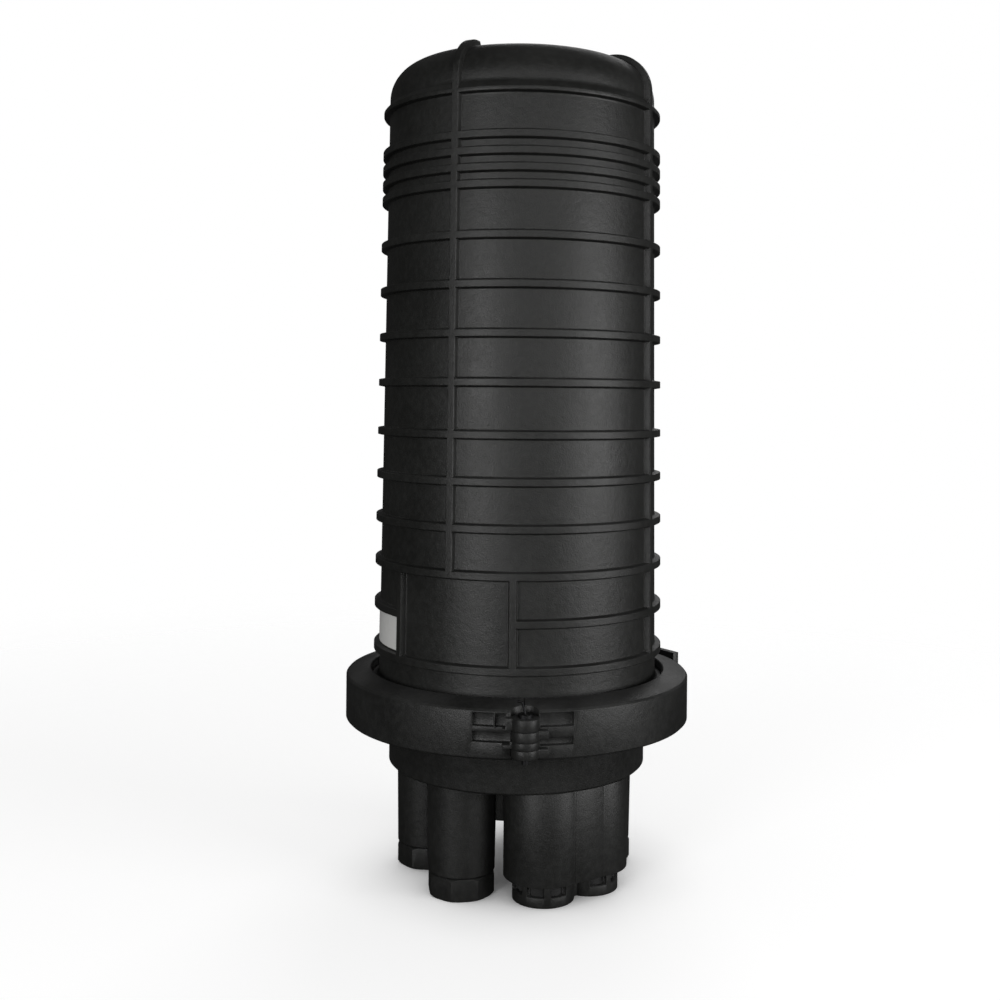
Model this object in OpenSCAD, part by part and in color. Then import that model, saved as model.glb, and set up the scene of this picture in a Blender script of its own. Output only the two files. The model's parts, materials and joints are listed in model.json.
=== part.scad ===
// Dome splice closure: a ribbed dome moulding clamped to a five-port base by a hinged two-piece hoop.
// Millimetres, +Z up. The origin is on the dome's axis at the level of the port nuts' undersides.
// The hoop's hinge pin stands at -Y. Azimuths count from -Y towards +X.

/* [Dome] */
// Radius of the dome's wall at its foot, without ribs
dome_r = 89.9; // [84:0.1:96]
// Height of the dome from its sealing face to the start of the shoulder
dome_wall_h = 383.5; // [300:0.5:440]
// Narrowing of the wall's radius for each millimetre of height
dome_draft = 0.01; // [0:0.001:0.02]
// Wall thickness of the dome
dome_t = 3.2; // [2.4:0.1:4.5]
// Radius of the rounded shoulder under the crown
shoulder_r = 22; // [14:1:30]
// Rise of the crown at its middle
crown_rise = 3; // [1:0.5:6]

/* [Dome ribs] */
// How far the ribs stand proud of the wall
rib_proud = 3.8; // [2:0.1:5]
// Thickness of a ring rib at its root
ring_rib_w = 5; // [3:0.1:7]
// Width of an upright rib
stave_w = 4.7; // [3:0.1:7]
// Height of the lowest ring rib above the sealing face
ring_foot = 32; // [26:0.5:44]
// Pitch of the lower ring ribs
ring_pitch_low = 27.6; // [22:0.1:32]
// Pitch of the upper ring ribs
ring_pitch_high = 29; // [24:0.1:34]
// Pitch of the close group of ring ribs under the shoulder
ring_pitch_group = 9.8; // [8:0.1:12]
// Height of the top ring rib above the sealing face
ring_top = 374.5; // [366:0.5:378]
// Half the angle of the bare panel between its two short upright ribs
panel_half_angle = 24.7; // [15:0.1:35]

/* [Clamp] */
// Outer radius of the dome's and the base's flanges
flange_r = 103.6; // [100:0.1:108]
// Thickness of the dome's flange at its edge
dome_flange_t = 10; // [7:0.1:11]
// Thickness of the base's flange at its edge
base_flange_t = 8; // [6:0.1:9]
// Slope of the wedge face on the dome's flange
wedge_slope = 0.2162; // [0.1:0.01:0.26]
// Running gap between the hoop and the flanges
hoop_gap = 0.3; // [0.1:0.05:0.6]
// Thickness of the hoop's band
hoop_t = 5.6; // [4:0.1:7]
// Height of the hoop at its outer edge
hoop_h = 28.5; // [26:0.1:32]
// Radius of the hinge knuckles
knuckle_r = 8; // [6:0.1:8.4]
// Radius of the hinge pin
pin_r = 2; // [1.5:0.1:3]

/* [Latch] */
// Sweep of the lever's curved grip round the hoop, in degrees
grip_sweep = 42; // [24:1:50]
// Thickness of the lever's grip
grip_t = 4.5; // [3:0.1:6]
// Length of the lever's straight tip
grip_tip = 27; // [12:1:36]
// Radius of the latch link's wire
link_r = 1.5; // [1:0.1:1.8]

/* [Base] */
// Outer radius of the base's collar
collar_r = 82.9; // [80:0.1:84]
// Wall thickness of the collar
collar_t = 4; // [3:0.1:6]
// Height of the base's floor above the nuts' undersides
floor_z = 70; // [60:1:90]
// Thickness of the floor
floor_t = 5; // [3:0.1:8]
// Height of the collar from the underside of the floor to the sealing face
collar_h = 43; // [40:0.5:60]

/* [Ports] */
// Radius of the circle that the round ports stand on
port_circle_r = 56.8; // [55.5:0.1:58]
// Outer radius of a round port at the floor
port_r = 21.5; // [20.5:0.1:22]
// Outer radius of a round port at its mouth
port_mouth_r = 20.7; // [19:0.1:21]
// Radius of a round port's bore
port_bore_r = 17; // [15:0.1:17.6]
// Radius of the throat where a port opens into the dome
throat_r = 14.5; // [13.5:0.1:15]
// Width of a port nut across its flats
nut_af = 39; // [34:0.1:39.4]
// Height of a port nut's head
nut_h = 13.5; // [10:0.5:18]
// Radius of the cable passage through a nut, its washer and its seal
cable_r = 12.5; // [8:0.1:13]
// Radius of each lobe of the oval port
lobe_r = 24.6; // [22:0.1:25]
// Distance between the middles of the oval port's lobes
lobe_span = 34; // [30:0.1:38]
// Radius of each lobe of the cage at the oval port's mouth
cage_r = 19; // [16:0.1:20]

/* [Splice trays] */
// Width of a splice tray
tray_w = 112; // [90:1:118]
// Height of a splice tray
tray_h = 326; // [240:1:340]
// Depth of a splice tray's rim
tray_d = 10; // [7:0.5:11]
// Distance from one tray to the next
tray_pitch = 13; // [11.5:0.5:14]
// Number of splice trays
tray_count = 4; // [4:1:4]

/* [Hidden] */
$fn = 96;
e = 0.01;
big = 400;

// Levels of the base and the dome
seal_z = floor_z + collar_h;
floor_top = floor_z + floor_t;
shoulder_z = seal_z + dome_wall_h;
crown_z = shoulder_z + shoulder_r;
crown_in_z = crown_z - dome_t;
flange_top_z = seal_z + dome_flange_t;
flange_low_z = seal_z - base_flange_t;

// Radii of the dome
function wall_r(z) = dome_r - dome_draft * (z - seal_z);
shoulder_mid_r = wall_r(shoulder_z) - shoulder_r;
crown_r = (pow(shoulder_mid_r, 2) + pow(crown_rise, 2)) / (2 * crown_rise);

// Azimuths round the dome
stave_az = [-29, 61, 151, 241];
panel_az = stave_az[0];
panel_sides = [panel_az - panel_half_angle, panel_az + panel_half_angle];

// Heights of the ring ribs
ring_low = [for (i = [0:5]) seal_z + ring_foot + i * ring_pitch_low];
ring_step = 2;
ring_group_lead = 0.7;
ring_high = [for (i = [1:4]) ring_low[5] + i * ring_pitch_high + ring_step];
ring_group = [for (i = [1:4]) ring_high[3] + ring_pitch_high + ring_group_lead + (i - 1) * ring_pitch_group];
panel_top_z = ring_low[2];
panel_ring_z = ring_low[1];
rib_taper = 0.35;
rib_edge = 0.6;

// Hoop
spigot_h = 12;
spigot_gap = 0.7;
seal_section = 6;
seal_squash = 5;
seal_mid_r = flange_r - 8.6;
low_slope = 0.12;
web_r = flange_r + 1.6;
hoop_r = web_r + hoop_t;
hoop_low_z = flange_low_z - 6;
hoop_edge_z = hoop_low_z + hoop_h;
lip_up_r = dome_r + 4.8;
lip_low_r = collar_r + 3.1;
hoop_lip_z = hoop_edge_z + wedge_slope * (hoop_r - lip_up_r);
hoop_edge = 1.1;
split_gap = 0.5;

// Hoop hinge
hinge_rho = hoop_r + 1.6;
pin_gap = 0.05;
knuckle_gap = 0.3;
knuckle_levels = [2.6, 7.7, 12, 18, 25];
knuckle_play = 0.2;
pin_over = 1.5;

// Latch
pivot_x = 15;
pivot_y = hoop_r + 7.2;
lug_r = 5;
lug_low = 11;
lug_high = 21;
cheek_t = 5;
cheek_gap = 0.3;
cheek_low = hoop_low_z + lug_low - cheek_gap - cheek_t;
cheek_high = hoop_low_z + lug_high + cheek_gap;
cheek_top = cheek_high + cheek_t;
grip_in_r = hoop_r + 1.4;
grip_top_z = hoop_edge_z + 2.5;
grip_start_az = 122;
link_pin_x = 31;
link_pin_y = hoop_r + 3.2;
catch_x = -15;
link_bar_y = hoop_r + 5.7;
link_low_z = cheek_low - link_r - cheek_gap;
link_high_z = cheek_top + link_r + cheek_gap;
catch_gap = 0.3;
catch_w = 11;

// Ports
oval_az = 32;
near_turn = 70.5;
far_turn = 130;
port_az = [oval_az - near_turn, oval_az - far_turn, oval_az + near_turn, oval_az + far_turn];
lobe_rho = port_circle_r + 0.9;
lobe_swing = asin(lobe_span / 2 / lobe_rho);
lobe_az = [oval_az - lobe_swing, oval_az + lobe_swing];
nut_gap = 1;
port_mouth_z = nut_h + nut_gap;
throat_z = floor_z - 4;
nut_stem_h = 20;
thread_gap = 0.1;
washer_t = 2;
stack_gap = 0.3;
washer_z = nut_h + nut_stem_h + stack_gap;
seal_low_z = washer_z + washer_t;
soft_gap = 0.1;
web_h = 25;
web_t = 4;
web_gap = 0.1;
cage_h = 13.9;
cage_wall = 3;
cage_stem_h = 6;
cage_window_low = 6;
cage_window_h = 7;
cage_window_turn = 12;
cage_window_count = 8;
lobe_bore_r = cage_r + 0.2;
neck_w = 21;
seal_grip = 0.4;
seal_bore_r = cable_r - seal_grip;
washer_bore_r = cable_r + 0.5;
plug_flange_t = 6;

// Splice trays
tray_t = 1.8;
tray_rise = 5;
tray_z = seal_z + tray_rise;
tray_front_y = -50;
tray_corner = 8;
tray_y = [for (i = [0:tray_count - 1]) tray_front_y + i * tray_pitch];
frame_y = tray_front_y + tray_count * tray_pitch + 0.5;
frame_t = 2.5;
frame_w = 80;
rod_r = 2;
rod_drop = 7;
rod_z = tray_z - rod_drop;
cheek_x = tray_w / 2 + 1.5;
cheek_plate_t = 2.5;
frame_d = 16;
foot_w = 62;
foot_front = -22;
screw_core_r = 1.7;
screw_in = 3.5;
foot_screws = [for (x = [-1, 1]) for (y = [foot_front + 6, frame_y + frame_d - 5]) [x * (foot_w / 2 - 6), y]];
post_rho = 50;
post_az = [190, 225];
post_xy = [for (az = post_az) [post_rho * sin(az), -post_rho * cos(az)]];
post_h = 22;
post_r = 6;
strap_w = 20;
strap_t = 1.2;
basket_d = 34;

// Point on a circle of radius rho at an azimuth
function at(rho, az) = [rho * sin(az), -rho * cos(az), 0];

// Ring of a half section drawn in the radius-height plane
module ring(angle = 360) {
    rotate_extrude(angle = angle) children();
}

// Solid sector between two azimuths, as tall as asked for
module sector(from, to, low, high, reach = big) {
    rotate([0, 0, from - 90])
        translate([0, 0, low])
            rotate_extrude(angle = to - from) square([reach, high - low]);
}

// Upright plate in the plane of one azimuth, from a half section
module plate_at(az, width) {
    rotate([0, 0, az - 90])
        rotate([90, 0, 0])
            linear_extrude(height = width, center = true) children();
}

// ---------------------------------------------------------------- dome

// Half section of the dome's outside, grown outwards by a given amount
module dome_outline(grow, low) {
    mid_r = shoulder_mid_r;
    polygon([
        [0, low], [wall_r(low) + grow, low],
        [wall_r(shoulder_z) + grow, shoulder_z], [0, shoulder_z]
    ]);
    translate([0, shoulder_z - e]) square([mid_r, shoulder_r + grow + e]);
    intersection() {
        translate([mid_r, shoulder_z]) circle(r = shoulder_r + grow);
        translate([0, shoulder_z - e]) square([big, big]);
    }
    intersection() {
        translate([0, crown_z + crown_rise - crown_r + grow]) circle(r = crown_r, $fn = 360);
        translate([0, crown_z - 5]) square([mid_r, 30]);
    }
}

// Section of one ring rib, rooted inside the wall
module ring_section(z, thick) {
    r0 = wall_r(z);
    h = thick / 2;
    polygon([
        [r0 - 1, z - h], [r0, z - h],
        [r0 + rib_proud - rib_edge, z - h + rib_taper],
        [r0 + rib_proud, z - h + rib_taper + rib_edge],
        [r0 + rib_proud, z + h - rib_taper - rib_edge],
        [r0 + rib_proud - rib_edge, z + h - rib_taper],
        [r0, z + h], [r0 - 1, z + h]
    ]);
}

// Top ring rib with its long chamfer under the shoulder
module top_ring_section() {
    r0 = wall_r(ring_top + seal_z);
    z = ring_top + seal_z;
    h = ring_rib_w / 2;
    polygon([
        [r0 - 1, z - h], [r0, z - h],
        [r0 + rib_proud - rib_edge, z - h + rib_taper],
        [r0 + rib_proud, z - h + rib_taper + rib_edge],
        [r0 + rib_proud, z], [r0, z + h + 1.6], [r0 - 1, z + h + 1.6]
    ]);
}

// Upright rib from a level up over the shoulder and onto the crown
module stave(az, low) {
    plate_at(az, stave_w)
        difference() {
            dome_outline(rib_proud, low);
            dome_outline(-1, low - 10);
            square([shoulder_mid_r - 2, big * 2]);
        }
}

// Short upright rib on the plain wall
module short_stave(az, low, high) {
    plate_at(az, stave_w)
        polygon([
            [wall_r(low) - 1, low], [wall_r(low) + rib_proud, low],
            [wall_r(high) + rib_proud, high], [wall_r(high) - 1, high]
        ]);
}

module dome_shell() {
    foot_r = dome_r + 1.6;
    color("#2b2c2b") union() {
            ring() difference() {
                union() {
                    dome_outline(0, seal_z);
                    polygon([
                        [0, seal_z], [flange_r, seal_z], [flange_r, flange_top_z],
                        [foot_r, flange_top_z + wedge_slope * (flange_r - foot_r)],
                        [dome_r - 0.4, flange_top_z + wedge_slope * (flange_r - foot_r) + 4],
                        [0, flange_top_z]
                    ]);
                }
                polygon([
                    [0, seal_z - 1], [wall_r(seal_z) - dome_t, seal_z - 1],
                    [wall_r(shoulder_z) - dome_t, shoulder_z], [0, shoulder_z]
                ]);
                translate([0, shoulder_z - e]) square([shoulder_mid_r, shoulder_r - dome_t + e]);
                intersection() {
                    translate([shoulder_mid_r, shoulder_z]) circle(r = shoulder_r - dome_t);
                    translate([0, shoulder_z - e]) square([big, big]);
                }
            }
            // Ring ribs: the second one from below is broken by the bare panel
            for (z = [ring_low[0], ring_low[2], ring_low[3], ring_low[4], ring_low[5]])
                ring() ring_section(z, ring_rib_w);
            for (z = concat(ring_high, ring_group))
                ring() ring_section(z, ring_rib_w);
            ring() top_ring_section();
            rotate([0, 0, panel_sides[1] - 90])
                ring(360 - 2 * panel_half_angle) ring_section(panel_ring_z, ring_rib_w);
            // Upright ribs
            stave(stave_az[0], panel_top_z);
            for (i = [1:3]) stave(stave_az[i], ring_low[0]);
            for (az = panel_sides) short_stave(az, ring_low[0], panel_top_z);
    }
}

module marking_label() {
    low = ring_low[0] + ring_rib_w / 2 + 1.2;
    high = panel_ring_z - ring_rib_w / 2 - 1;
    off = 0.05;
    thick = 0.35;
    color("#e9e9e4") rotate([0, 0, -116 - 90])
        ring(116 + panel_sides[0] - 4)
            polygon([
                [wall_r(low) + off, low], [wall_r(low) + off + thick, low],
                [wall_r(high) + off + thick, high], [wall_r(high) + off, high]
            ]);
}

// ---------------------------------------------------------------- base

// Outline of the oval port: two round lobes and the neck between them
module lobes(r, wide, deep) {
    for (az = lobe_az) translate(at(lobe_rho, az)) circle(r = r);
    translate(at(lobe_rho * cos(lobe_swing), oval_az)) rotate([0, 0, oval_az])
        square([wide, deep], center = true);
}

// Web under the floor between two neighbouring port tubes, each of them [distance from the axis, azimuth, radius]
module port_web(one, other) {
    a = at(one[0], one[1]);
    b = at(other[0], other[1]);
    d = b - a;
    long = norm(d) - one[2] - other[2] - 2 * web_gap;
    translate([a[0], a[1], floor_z - web_h])
        rotate([0, 0, atan2(d[1], d[0])])
            translate([one[2] + web_gap, -web_t / 2, 0]) cube([long, web_t, web_h + 1]);
}

module base_body() {
    edge = 1.2;
    spigot_r = dome_r - dome_t - spigot_gap;
    spigot_edge = 1.5;
    groove_gap = 0.1;
    pilot_h = 10;
    color("#2b2c2b") difference() {
        union() {
            ring() difference() {
                union() {
                    polygon([
                        [0, floor_z], [collar_r - edge, floor_z], [collar_r, floor_z + edge],
                        [collar_r, flange_low_z], [0, flange_low_z]
                    ]);
                    polygon([
                        [0, flange_low_z - low_slope * (flange_r - collar_r)],
                        [collar_r - 1, flange_low_z - low_slope * (flange_r - collar_r + 1)],
                        [flange_r, flange_low_z], [flange_r, seal_z], [0, seal_z]
                    ]);
                    polygon([
                        [0, seal_z - e], [spigot_r, seal_z - e], [spigot_r, seal_z + spigot_h - spigot_edge],
                        [spigot_r - spigot_edge, seal_z + spigot_h], [0, seal_z + spigot_h]
                    ]);
                }
                translate([0, floor_top]) square([collar_r - collar_t, big]);
                translate([seal_mid_r - seal_section / 2 - groove_gap, seal_z - seal_squash])
                    square([seal_section + 2 * groove_gap, seal_squash + 1]);
            }
            // Webs between neighbouring ports
            tubes = [for (az = port_az) [port_circle_r, az, port_r]];
            oval = [for (az = lobe_az) [lobe_rho, az, lobe_r]];
            port_web(tubes[0], tubes[1]);
            port_web(tubes[2], tubes[3]);
            port_web(tubes[0], oval[0]);
            port_web(tubes[2], oval[1]);
        }
        for (az = port_az) translate(at(port_circle_r, az)) translate([0, 0, floor_z - 1])
            cylinder(r = throat_r, h = floor_t + 2);
        translate([0, 0, floor_z - 1]) linear_extrude(height = floor_t + 2) oval_throat();
        // Pilot holes of the frame's four screws and of the strength posts
        for (p = concat(foot_screws, post_xy)) translate([p[0], p[1], floor_top - screw_in])
            cylinder(r = screw_core_r, h = pilot_h, $fn = 32);
    }
}

// Outline of the opening from the oval port into the dome
module oval_throat() {
    lobes(lobe_bore_r - 2.5, lobe_span, cage_r * 1.04);
}

// Round port tubes under the floor, tapering towards their mouths
module port_tubes() {
    color("#2b2c2b") for (az = port_az) translate(at(port_circle_r, az)) difference() {
        translate([0, 0, port_mouth_z])
            cylinder(r1 = port_mouth_r, r2 = port_r, h = floor_z - port_mouth_z);
        translate([0, 0, port_mouth_z - 1]) cylinder(r = port_bore_r, h = throat_z - port_mouth_z + 1);
        translate([0, 0, throat_z - 1]) cylinder(r = throat_r, h = floor_z - throat_z + 2);
    }
}

// Oval port tube under the floor
module oval_tube() {
    low = cage_h + 0.1;
    neck_d = 2 * sqrt(pow(lobe_r, 2) - pow((lobe_span - neck_w) / 2, 2)) + 0.5;
    color("#2b2c2b") difference() {
        translate([0, 0, low]) linear_extrude(height = floor_z - low) lobes(lobe_r, neck_w, neck_d);
        translate([0, 0, low - 1]) linear_extrude(height = throat_z - low + 1)
            lobes(lobe_bore_r, lobe_span, lobe_r);
        translate([0, 0, throat_z - 1]) linear_extrude(height = floor_z - throat_z + 2) oval_throat();
    }
}

module main_seal_ring() {
    color("#151515") ring() intersection() {
        translate([seal_mid_r, seal_z - seal_squash / 2]) circle(r = seal_section / 2);
        translate([seal_mid_r - seal_section, seal_z - seal_squash])
            square([2 * seal_section, seal_squash]);
    }
}

// ---------------------------------------------------------------- hoop

// Half section of the hoop: a band with two wedge lips that draw the flanges together
module hoop_section() {
    top_in = flange_top_z + hoop_gap;
    low_in = flange_low_z - hoop_gap;
    polygon([
        [lip_low_r, hoop_low_z], [hoop_r - hoop_edge, hoop_low_z], [hoop_r, hoop_low_z + hoop_edge],
        [hoop_r, hoop_edge_z - hoop_edge], [hoop_r - hoop_edge, hoop_edge_z + wedge_slope * hoop_edge],
        [lip_up_r + 0.8, hoop_lip_z - 0.2], [lip_up_r, hoop_lip_z - 1],
        [lip_up_r, top_in + wedge_slope * (flange_r - lip_up_r)],
        [web_r, top_in - wedge_slope * (web_r - flange_r)],
        [web_r, low_in + low_slope * (web_r - flange_r)],
        [lip_low_r, low_in - low_slope * (flange_r - lip_low_r)]
    ]);
}

// Half ring: side is -1 for the left, 1 for the right
module half_ring(side) {
    difference() {
        rotate([0, 0, side < 0 ? 90 : -90]) ring(180) hoop_section();
        translate([side < 0 ? -split_gap / 2 : split_gap / 2 - big, -big / 2, 0]) cube([big, big, big]);
    }
}

// Room that the flanges take up inside the hoop's band
module flange_room() {
    translate([0, 0, hoop_low_z - 5]) cylinder(r = flange_r + hoop_gap, h = hoop_h + 20);
}

// Ends of one hinge knuckle, counted up from the hoop's foot, with its share of the play
function knuckle_span(i) = [
    knuckle_levels[i] + (i == 0 ? 0 : knuckle_play / 2),
    knuckle_levels[i + 1] - (i == 3 ? 0 : knuckle_play / 2)
];

// Hinge knuckle with the arm that carries it out of the band
module knuckle(side, span) {
    arm = knuckle_r + 5;
    back = hinge_rho - web_r;
    translate([0, -hinge_rho, hoop_low_z + span[0]]) {
        cylinder(r = knuckle_r, h = span[1] - span[0]);
        translate([side < 0 ? -arm : 0, -knuckle_r * 0.3, 0])
            cube([arm, knuckle_r * 0.3 + back, span[1] - span[0]]);
    }
}

// Pocket sunk into the band's face between two distances from the hinge
module hoop_pocket(side, from, to, low, high) {
    a = asin(from / hoop_r);
    b = asin(to / hoop_r);
    depth = hoop_t * 0.6;
    difference() {
        sector(side < 0 ? -b : a, side < 0 ? -a : b, hoop_low_z + low, hoop_low_z + high);
        cylinder(r = hoop_r - depth, h = big);
    }
}

// One hoop half with its knuckles; other lists the levels of the other half's knuckles
module hoop_half(side, mine, other) {
    difference() {
        union() {
            half_ring(side);
            difference() {
                for (span = mine) knuckle(side, span);
                flange_room();
            }
        }
        for (span = concat(other, [[-2, knuckle_levels[0]], [knuckle_levels[4], hoop_h + 9]]))
            translate([0, -hinge_rho, hoop_low_z + span[0]])
                cylinder(r = knuckle_r + knuckle_gap, h = span[1] - span[0]);
        translate([0, -hinge_rho, hoop_low_z - 5]) cylinder(r = pin_r + pin_gap, h = hoop_h + 20);
    }
}

module hoop_left() {
    color("#303130") difference() {
        union() {
            hoop_half(-1, [knuckle_span(1), knuckle_span(3)],
                [[knuckle_levels[0], knuckle_levels[1]], [knuckle_levels[2], knuckle_levels[3]]]);
            difference() {
                translate([catch_x - catch_w / 2, web_r - 2, cheek_low + 3])
                    cube([catch_w, link_bar_y - link_r - catch_gap - web_r + 2, cheek_top - cheek_low - 6]);
                flange_room();
            }
        }
        hoop_pocket(-1, 18, 30, 19, 26.6);
        hoop_pocket(-1, 11, 17, 19, 26.6);
        hoop_pocket(-1, knuckle_r + 0.5, 30, 10, 16);
    }
}

module hoop_right() {
    color("#303130") difference() {
        union() {
            hoop_half(1, [knuckle_span(0), knuckle_span(2)],
                [[knuckle_levels[1], knuckle_levels[2]], [knuckle_levels[3], knuckle_levels[4]]]);
            // Lug that carries the lever
            difference() {
                translate([pivot_x, pivot_y, hoop_low_z + lug_low]) {
                    cylinder(r = lug_r, h = lug_high - lug_low);
                    translate([-lug_r, web_r - 2 - pivot_y, 0])
                        cube([2 * lug_r, pivot_y - web_r + 2, lug_high - lug_low]);
                }
                flange_room();
            }
        }
        translate([pivot_x, pivot_y, hoop_low_z]) cylinder(r = pin_r + pin_gap, h = hoop_h);
        hoop_pocket(1, knuckle_r + 0.5, 28, 19, 27);
        hoop_pocket(1, knuckle_r + 0.5, 28, 8.4, 12.8);
    }
}

module hinge_pin() {
    top = hoop_low_z + knuckle_levels[4] + pin_gap;
    low = hoop_low_z - pin_over;
    wire_r = 0.7;
    wire_h = 7.5;
    color("#4a4b4c") translate([0, -hinge_rho, 0]) {
        translate([0, 0, low]) cylinder(r = pin_r, h = top - low + 1);
        translate([0, 0, top]) cylinder(r = pin_r * 2.1, h = 2);
        // Wire tail bent up out of the head
        translate([0, -1, top + 1.5]) rotate([0, -14, 0]) {
            cylinder(r = wire_r, h = wire_h);
            translate([0, 0, wire_h]) sphere(r = wire_r);
            translate([0, 0, wire_h]) rotate([0, -62, 0]) cylinder(r = wire_r, h = 3);
        }
    }
}

// Plan of the lever's fork cheek, from the pivot round the link's eye and into the grip
module cheek_plan() {
    tail_az = grip_start_az + grip_sweep - 10;
    difference() {
        union() {
            translate([pivot_x, pivot_y]) circle(r = lug_r);
            translate([link_pin_x, link_pin_y]) circle(r = link_r + 2.6);
            polygon([
                [pivot_x, pivot_y - lug_r], at_xy(grip_in_r + 0.4, tail_az),
                at_xy(grip_in_r + grip_t - 0.4, tail_az),
                [link_pin_x + 3, link_pin_y + 2.6], [pivot_x, pivot_y + lug_r]
            ]);
        }
        translate([pivot_x, pivot_y]) circle(r = pin_r + pin_gap);
        translate([link_pin_x, link_pin_y]) circle(r = link_r + pin_gap);
    }
}

// Plan of the lever's grip: an arc round the hoop that runs out into a straight tip
module grip_plan() {
    difference() {
        intersection() {
            circle(r = grip_in_r + grip_t);
            polygon([[0, 0], at_xy(big, grip_start_az), at_xy(big, grip_start_az + grip_sweep - 6)]);
        }
        circle(r = grip_in_r);
    }
    rotate(grip_start_az) translate([-grip_tip, -grip_in_r - grip_t])
        square([grip_tip + 0.6, grip_t]);
}

function at_xy(rho, az) = [rho * sin(az), -rho * cos(az)];

module latch_lever() {
    rim = 3;
    color("#232423") {
        for (z = [cheek_low, cheek_high])
            translate([0, 0, z]) linear_extrude(height = cheek_t) cheek_plan();
        difference() {
            translate([0, 0, cheek_low]) linear_extrude(height = cheek_top - cheek_low) grip_plan();
            // Long recess in the grip's outer face
            difference() {
                sector(grip_start_az + 2, grip_start_az + grip_sweep - 6 - rim, cheek_low + rim,
                    cheek_top - rim);
                cylinder(r = grip_in_r + grip_t * 0.5, h = big);
            }
        }
        // Raised finger tab on the tip
        rotate([0, 0, grip_start_az]) translate([-grip_tip, -grip_in_r - grip_t, cheek_low + cheek_t])
            cube([grip_tip * 0.85, grip_t, grip_top_z - cheek_low - cheek_t]);
    }
}

module latch_pivot_pin() {
    color("#8d8f91") translate([pivot_x, pivot_y, cheek_low])
        cylinder(r = pin_r, h = cheek_top - cheek_low);
}

module latch_link() {
    run = [catch_x - link_pin_x, link_bar_y - link_pin_y];
    hook = cheek_t - 1;
    color("#8d8f91") {
        for (z = [link_low_z, link_high_z])
            translate([link_pin_x, link_pin_y, z]) {
                rotate([0, 90, atan2(run[1], run[0])]) cylinder(r = link_r, h = norm(run));
                sphere(r = link_r);
                translate([run[0], run[1], 0]) sphere(r = link_r);
            }
        translate([catch_x, link_bar_y, link_low_z]) cylinder(r = link_r, h = link_high_z - link_low_z);
        translate([link_pin_x, link_pin_y, link_low_z])
            cylinder(r = link_r, h = cheek_low + hook - link_low_z);
        translate([link_pin_x, link_pin_y, cheek_top - hook])
            cylinder(r = link_r, h = link_high_z - cheek_top + hook);
    }
}

// ---------------------------------------------------------------- ports

// Hollow nut with a bevelled octagonal head and a stem that screws into the port
module port_nut(i) {
    corner_r = nut_af / 2 / cos(22.5);
    bevel = 1.4;
    color("#2b2c2b") translate(at(port_circle_r, port_az[i])) difference() {
        union() {
            intersection() {
                rotate([0, 0, port_az[i] + 22.5]) cylinder(r = corner_r, h = nut_h, $fn = 8);
                union() {
                    translate([0, 0, bevel]) cylinder(r = corner_r + 1, h = nut_h - 2 * bevel);
                    cylinder(r1 = corner_r - bevel, r2 = corner_r, h = bevel + e);
                    translate([0, 0, nut_h - bevel - e])
                        cylinder(r1 = corner_r, r2 = corner_r - bevel, h = bevel + e);
                }
            }
            translate([0, 0, nut_h - e]) cylinder(r = port_bore_r - thread_gap, h = nut_stem_h + e);
        }
        translate([0, 0, -1]) cylinder(r = cable_r, h = nut_h + nut_stem_h + 2);
    }
}

module port_washer(i) {
    color("#b9bcbe") translate(at(port_circle_r, port_az[i])) translate([0, 0, washer_z])
        difference() {
            cylinder(r = port_bore_r - soft_gap, h = washer_t);
            translate([0, 0, -1]) cylinder(r = washer_bore_r, h = washer_t + 2);
        }
}

module port_seal(i) {
    seal_h = throat_z - seal_low_z;
    groove = 0.8;
    color("#1a1a1a") translate(at(port_circle_r, port_az[i])) translate([0, 0, seal_low_z])
        difference() {
            cylinder(r = port_bore_r - soft_gap, h = seal_h);
            translate([0, 0, -1]) cylinder(r = seal_bore_r, h = seal_h + 2);
            for (k = [1:3]) translate([0, 0, seal_h * k / 4 - 1])
                ring() translate([port_bore_r - soft_gap - groove, 0]) square([groove + 1, 2]);
        }
}

// Blanking plug: a rod through the seal with a flange inside the dome
module port_plug(i) {
    color("#3a3b3a") translate(at(port_circle_r, port_az[i])) {
        translate([0, 0, seal_low_z]) cylinder(r = seal_bore_r - soft_gap, h = throat_z - seal_low_z + e);
        translate([0, 0, throat_z]) cylinder(r = throat_r - soft_gap, h = plug_flange_t);
    }
}

module oval_cage() {
    window_w = cage_r * 0.57;
    cut = cage_wall + 1.5;
    color("#2b2c2b") difference() {
        linear_extrude(height = cage_h + cage_stem_h) lobes(cage_r, lobe_span, cage_r * 1.1);
        translate([0, 0, cage_wall]) linear_extrude(height = cage_h + cage_stem_h)
            lobes(cage_r - cage_wall, lobe_span, cage_r * 0.75);
        for (az = lobe_az) translate(at(lobe_rho, az)) {
            translate([0, 0, -1]) cylinder(r = cable_r, h = cage_h);
            // Windows round the outer wall, none of them towards the other lobe
            for (k = [0:cage_window_count - 1]) {
                turn = az + k * 360 / cage_window_count + cage_window_turn;
                inward = oval_az + (az < oval_az ? 90 : -90);
                if (cos(turn - inward) < 0.5) rotate([0, 0, turn])
                    translate([-window_w / 2, -cage_r - 1, cage_window_low])
                        cube([window_w, cut, cage_window_h]);
            }
        }
    }
}

module oval_seal() {
    low = cage_h + cage_stem_h;
    color("#1a1a1a") translate([0, 0, low]) difference() {
        linear_extrude(height = throat_z - low)
            lobes(lobe_bore_r - soft_gap, lobe_span, lobe_r - 2 * soft_gap);
        for (az = lobe_az) translate(at(lobe_rho, az)) translate([0, 0, -1])
            cylinder(r = seal_bore_r, h = big);
    }
}

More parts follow.
